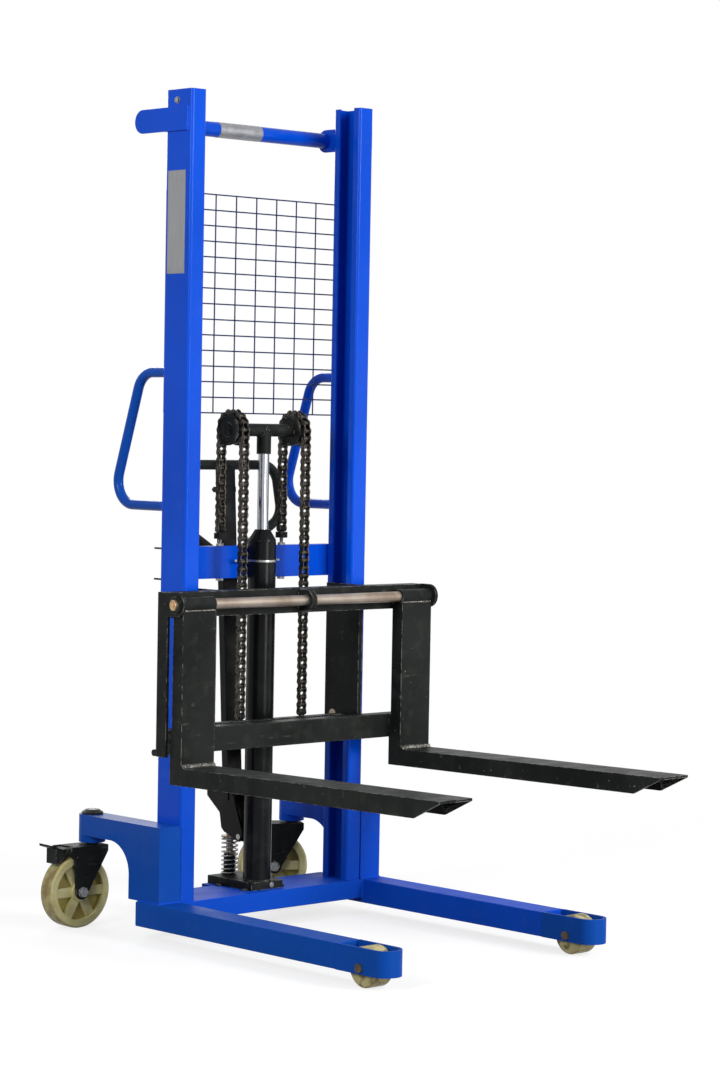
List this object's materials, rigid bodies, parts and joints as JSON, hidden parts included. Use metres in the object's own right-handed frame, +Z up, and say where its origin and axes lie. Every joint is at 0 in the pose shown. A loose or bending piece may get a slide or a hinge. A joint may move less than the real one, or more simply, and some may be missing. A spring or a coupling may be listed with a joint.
{
  "type": "hand pallet stacker",
  "caption": "Hand pump pallet stacker with straddle legs, chain lifted fork carriage, tiller and swivel casters.",
  "frame": {"origin": "on the floor under the middle of the mast's front face", "axes": "+Z up, forks point to -Y, +X to the right seen from the front"},
  "size_m": [0.9076, 1.3798, 2.05],
  "materials": {
    "blue_paint": "gloss paint",
    "black_paint": "semi-gloss paint",
    "black_plastic": "moulded",
    "rubber": "matt",
    "chain_steel": "oiled",
    "chrome": "polished",
    "bare_steel": "turned",
    "zinc": "zinc plated",
    "nylon": "moulded"
  },
  "bodies": {
    "mast": {"mast_post_left": "blue_paint", "mast_post_right": "blue_paint", "tie_lugs": "blue_paint", "tie_tube": "blue_paint", "safety_screen": "blue_paint", "push_handle_left": "blue_paint", "push_handle_right": "blue_paint", "mid_crossbar": "blue_paint", "base_beam": "blue_paint", "straddle_leg_left": "blue_paint", "straddle_leg_right": "blue_paint", "roller_straps": "blue_paint", "roller_axles": "bare_steel", "caster_arm_left": "blue_paint", "caster_arm_right": "blue_paint", "caster_caps": "black_plastic", "pump_block": "black_paint", "cylinder_tube": "black_paint", "cylinder_gland": "black_paint", "cylinder_clamp": "zinc", "chain_anchors": "zinc", "rear_chains": "chain_steel", "pivot_ears": "black_paint", "tiller_pivot_pin": "bare_steel", "return_spring": "zinc", "frame_fasteners": "zinc"},
    "lift": {"ram": "chrome", "lift_head": "black_paint", "chain_wraps": "chain_steel"},
    "carriage": {"carriage_beam": "black_paint", "carriage_bar": "black_paint", "end_plates": "black_paint", "buffers": "rubber", "fork_shaft": "bare_steel", "shaft_retainers": "zinc", "roller_plates": "black_paint", "mast_roller_pins": "bare_steel", "chain_bar": "black_paint", "front_chains": "chain_steel"},
    "tiller": {"tiller_arm": "black_paint", "tiller_loop": "black_paint"},
    "plunger": {"pump_plunger": "bare_steel"},
    "press_roller": {"press_roller": "bare_steel"},
    "release_lever": {"release_lever": "black_paint"},
    "pulley_left": {"chain_pulley_left": "chain_steel"},
    "fork_left": {"fork_left": "black_paint"},
    "load_roller_left": {"load_roller_left": "nylon"},
    "caster_fork_left": {"caster_fork_left": "black_paint"},
    "caster_wheel_left": {"caster_wheel_left": "nylon"},
    "brake_pedal_left": {"brake_pedal_left": "black_paint"},
    "mast_roller_left_upper": {"mast_roller_left_upper": "bare_steel"},
    "mast_roller_left_lower": {"mast_roller_left_lower": "bare_steel"},
    "pulley_right": {"chain_pulley_right": "chain_steel"},
    "fork_right": {"fork_right": "black_paint"},
    "load_roller_right": {"load_roller_right": "nylon"},
    "caster_fork_right": {"caster_fork_right": "black_paint"},
    "caster_wheel_right": {"caster_wheel_right": "nylon"},
    "brake_pedal_right": {"brake_pedal_right": "black_paint"},
    "mast_roller_right_upper": {"mast_roller_right_upper": "bare_steel"},
    "mast_roller_right_lower": {"mast_roller_right_lower": "bare_steel"}
  },
  "joints": [
    {"name": "lift_slide", "type": "slide", "parent": "mast", "child": "lift", "axis": [0, 0, 1], "range_m": [-0.148, 0.575], "deforming": ["rear_chains"]},
    {"name": "carriage_slide", "type": "slide", "parent": "lift", "child": "carriage", "axis": [0, 0, 1], "range_m": [-0.148, 0.575], "deforming": ["front_chains"]},
    {"name": "tiller_pump", "type": "hinge", "parent": "mast", "child": "tiller", "pos_m": [0, 0.108, 0.215], "axis": [-1, 0, 0], "range_deg": [0, 33], "stiffness_Nm_per_rad": 26, "springref_deg": -28.65},
    {"name": "plunger_slide", "type": "slide", "parent": "mast", "child": "plunger", "axis": [0, 0, -1], "range_m": [0, 0.034], "deforming": ["return_spring"]},
    {"name": "press_roller_turn", "type": "hinge", "parent": "tiller", "child": "press_roller", "pos_m": [0, 0.16498, 0.23205], "axis": [1, 0, 0], "continuous": true},
    {"name": "release_squeeze", "type": "hinge", "parent": "tiller", "child": "release_lever", "pos_m": [0, 0.20212, 1.08302], "axis": [1, 0, 0], "range_deg": [0, 15], "stiffness_Nm_per_rad": 0.8, "springref_deg": -17.19},
    {"name": "pulley_left_turn", "type": "hinge", "parent": "lift", "child": "pulley_left", "pos_m": [-0.102, 0.0597, 1.2345], "axis": [1, 0, 0], "range_deg": [-775, 205]},
    {"name": "fork_left_slide", "type": "slide", "parent": "carriage", "child": "fork_left", "axis": [1, 0, 0], "range_m": [0, 0.28]},
    {"name": "load_roller_left_turn", "type": "hinge", "parent": "mast", "child": "load_roller_left", "pos_m": [-0.338, -0.713, 0.0465], "axis": [1, 0, 0], "continuous": true},
    {"name": "caster_left_swivel", "type": "hinge", "parent": "mast", "child": "caster_fork_left", "pos_m": [-0.333, 0.302, 0.2], "axis": [0, 0, 1], "continuous": true},
    {"name": "caster_left_roll", "type": "hinge", "parent": "caster_fork_left", "child": "caster_wheel_left", "pos_m": [-0.38297, 0.30374, 0.09], "axis": [0.0349, 0.9994, 0], "continuous": true},
    {"name": "brake_left_tip", "type": "hinge", "parent": "caster_fork_left", "child": "brake_pedal_left", "pos_m": [-0.42095, 0.30507, 0.1957], "axis": [-0.0349, -0.9994, 0], "range_deg": [0, 10]},
    {"name": "mast_roller_left_upper_turn", "type": "hinge", "parent": "carriage", "child": "mast_roller_left_upper", "pos_m": [-0.2745, 0.0475, 0.797], "axis": [1, 0, 0], "continuous": true},
    {"name": "mast_roller_left_lower_turn", "type": "hinge", "parent": "carriage", "child": "mast_roller_left_lower", "pos_m": [-0.2745, 0.0475, 0.516], "axis": [1, 0, 0], "continuous": true},
    {"name": "pulley_right_turn", "type": "hinge", "parent": "lift", "child": "pulley_right", "pos_m": [0.102, 0.0597, 1.2345], "axis": [1, 0, 0], "range_deg": [-775, 205]},
    {"name": "fork_right_slide", "type": "slide", "parent": "carriage", "child": "fork_right", "axis": [-1, 0, 0], "range_m": [0, 0.28]},
    {"name": "load_roller_right_turn", "type": "hinge", "parent": "mast", "child": "load_roller_right", "pos_m": [0.338, -0.713, 0.0465], "axis": [1, 0, 0], "continuous": true},
    {"name": "caster_right_swivel", "type": "hinge", "parent": "mast", "child": "caster_fork_right", "pos_m": [0.333, 0.302, 0.2], "axis": [0, 0, 1], "continuous": true},
    {"name": "caster_right_roll", "type": "hinge", "parent": "caster_fork_right", "child": "caster_wheel_right", "pos_m": [0.2897, 0.327, 0.09], "axis": [0.5, 0.866, 0], "continuous": true},
    {"name": "brake_right_tip", "type": "hinge", "parent": "caster_fork_right", "child": "brake_pedal_right", "pos_m": [0.25679, 0.346, 0.1957], "axis": [-0.5, -0.866, 0], "range_deg": [0, 10]},
    {"name": "mast_roller_right_upper_turn", "type": "hinge", "parent": "carriage", "child": "mast_roller_right_upper", "pos_m": [0.2745, 0.0475, 0.797], "axis": [1, 0, 0], "continuous": true},
    {"name": "mast_roller_right_lower_turn", "type": "hinge", "parent": "carriage", "child": "mast_roller_right_lower", "pos_m": [0.2745, 0.0475, 0.516], "axis": [1, 0, 0], "continuous": true}
  ],
  "couplings": [
    {"joint": "carriage_slide", "follows": "lift_slide", "ratio": 1},
    {"joint": "plunger_slide", "follows": "tiller_pump", "m_per_rad": 0.0588},
    {"joint": "pulley_left_turn", "follows": "lift_slide", "rad_per_m": -23.359},
    {"joint": "pulley_right_turn", "follows": "lift_slide", "rad_per_m": -23.359}
  ]
}
